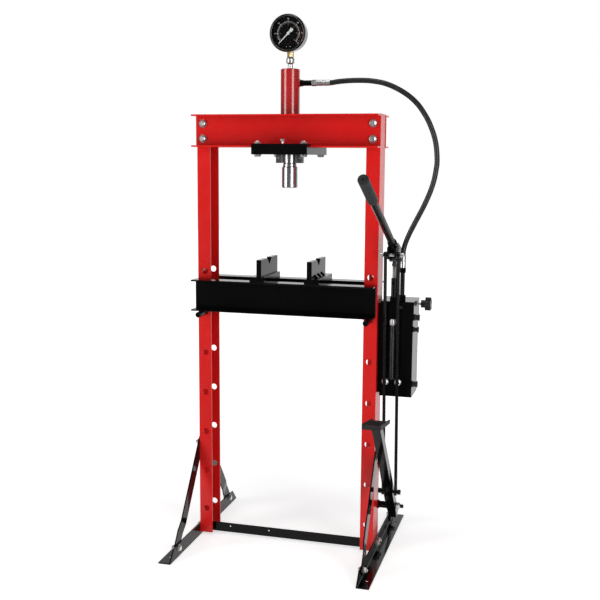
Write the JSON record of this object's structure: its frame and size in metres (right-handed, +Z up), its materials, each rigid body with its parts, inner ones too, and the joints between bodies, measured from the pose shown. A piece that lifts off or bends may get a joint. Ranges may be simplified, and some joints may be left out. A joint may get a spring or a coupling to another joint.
{
  "type": "hydraulic shop press",
  "caption": "Floor-standing H-frame hydraulic press: two drilled channel uprights, pinned height-adjustable bed with V-blocks, ram with gauge, foot pedal and hand lever pump, pressure hose",
  "frame": {"origin": "On the floor, midway between the uprights, on the axis of the ram (centre of the four floor anchor holes in plan)", "axes": "+X to the right seen from the front (pump side), +Y to the back, +Z up"},
  "size_m": [0.805, 0.8405, 1.691],
  "materials": {
    "red_paint": "gloss red paint",
    "tube_paint": "high gloss red paint",
    "tread_paint": "matt textured black paint",
    "dark_steel": "dark bare steel",
    "black_paint": "gloss black paint",
    "rod_black": "semi-gloss black",
    "zinc_plate": "bright zinc plating",
    "chrome": "hard chrome, ground",
    "brass": "machined",
    "gauge_enamel": "black enamel",
    "dial_face": "matt black with a white scale",
    "lens_glass": "clear",
    "needle_white": "white",
    "knob_plastic": "moulded black",
    "sight_plastic": "dark smooth",
    "hose_rubber": "smooth rubber cover",
    "grip_rubber": "matt ribbed rubber"
  },
  "bodies": {
    "frame": {"upright_left": "red_paint", "upright_right": "red_paint", "top_beam_front": "red_paint", "top_beam_rear": "red_paint", "top_beam_bolts": "zinc_plate", "foot_angle_left": "black_paint", "foot_angle_right": "black_paint", "brace_front_left": "black_paint", "brace_rear_left": "black_paint", "brace_front_right": "black_paint", "brace_rear_right": "black_paint", "foot_bolts": "zinc_plate", "base_cross_bar": "black_paint", "head_plate": "black_paint", "head_clamp_bars": "black_paint", "head_bolts": "zinc_plate", "cylinder_tube": "tube_paint", "gland_nut": "dark_steel", "gauge_adapter": "zinc_plate", "gauge_stem": "brass", "gauge_case": "gauge_enamel", "gauge_bezel": "gauge_enamel", "gauge_dial": "dial_face", "gauge_lens": "lens_glass", "head_hose_fitting": "black_paint", "hose": "hose_rubber", "hose_ferrules": "zinc_plate", "pump_hose_fitting": "black_paint", "pump_mount_plate": "black_paint", "pump_bolts": "zinc_plate", "oil_tank": "black_paint", "pump_block": "black_paint", "plunger_barrel": "black_paint", "fulcrum_post": "black_paint", "valve_stem": "zinc_plate", "side_plugs": "knob_plastic", "sight_tube": "sight_plastic", "sight_tube_cap": "zinc_plate", "pedal_pivot": "black_paint", "pedal_pivot_nut": "zinc_plate"},
    "ram": {"piston_rod": "chrome", "ram_nose": "chrome"},
    "needle": {"gauge_needle": "needle_white"},
    "bed": {"bed_beam_front": "black_paint", "bed_beam_rear": "black_paint", "bed_ties": "black_paint"},
    "v_block_l": {"v_block_left": "black_paint"},
    "v_block_r": {"v_block_right": "black_paint"},
    "pin_l": {"bed_pin_left": "black_paint"},
    "pin_r": {"bed_pin_right": "black_paint"},
    "pedal": {"pedal_arm": "black_paint", "pedal_tread": "tread_paint", "pedal_link_pin": "rod_black"},
    "rods": {"link_rods": "rod_black"},
    "lever": {"lever_fork": "rod_black", "lever_pins": "zinc_plate", "lever_handle": "rod_black", "lever_grip": "grip_rubber"},
    "plunger_body": {"plunger": "dark_steel"},
    "knob": {"release_knob": "knob_plastic"}
  },
  "joints": [
    {"name": "ram_stroke", "type": "slide", "parent": "frame", "child": "ram", "axis": [0, 0, -1], "range_m": [0, 0.15]},
    {"name": "needle_turn", "type": "hinge", "parent": "frame", "child": "needle", "pos_m": [0, -0.027, 1.634], "axis": [0, 1, 0], "range_deg": [0, 270]},
    {"name": "bed_height", "type": "slide", "parent": "frame", "child": "bed", "axis": [0, 0, 1], "range_m": [0, 0.13]},
    {"name": "v_block_left_slide", "type": "slide", "parent": "bed", "child": "v_block_l", "axis": [1, 0, 0], "range_m": [-0.1, 0.02]},
    {"name": "v_block_right_slide", "type": "slide", "parent": "bed", "child": "v_block_r", "axis": [1, 0, 0], "range_m": [-0.02, 0.1]},
    {"name": "pin_left_pull", "type": "slide", "parent": "frame", "child": "pin_l", "axis": [0, -1, 0], "range_m": [0, 0.215]},
    {"name": "pin_right_pull", "type": "slide", "parent": "frame", "child": "pin_r", "axis": [0, -1, 0], "range_m": [0, 0.215]},
    {"name": "pedal_swing", "type": "hinge", "parent": "frame", "child": "pedal", "pos_m": [0.341, 0.038, 0.142], "axis": [1, 0, 0], "range_deg": [0, 20], "stiffness_Nm_per_rad": 8, "springref_deg": -34.38},
    {"name": "lever_swing", "type": "hinge", "parent": "frame", "child": "lever", "pos_m": [0.341, 0.045, 0.956], "axis": [1, 0, 0], "range_deg": [0, 12.04], "stiffness_Nm_per_rad": 10, "springref_deg": -34.38},
    {"name": "rod_swing", "type": "hinge", "parent": "lever", "child": "rods", "pos_m": [0.341, -0.06, 0.968], "axis": [1, 0, 0], "range_deg": [-13.52, 0]},
    {"name": "plunger_stroke", "type": "slide", "parent": "frame", "child": "plunger_body", "axis": [0, 0, -1], "range_m": [0, 0.01146]},
    {"name": "knob_turn", "type": "hinge", "parent": "frame", "child": "knob", "pos_m": [0.435, 0.02, 0.811], "axis": [1, 0, 0], "range_deg": [0, 270]}
  ],
  "couplings": [
    {"joint": "lever_swing", "follows": "pedal_swing", "ratio": 0.6017},
    {"joint": "rod_swing", "follows": "pedal_swing", "ratio": -0.6755},
    {"joint": "plunger_stroke", "follows": "pedal_swing", "m_per_rad": 0.0328}
  ]
}
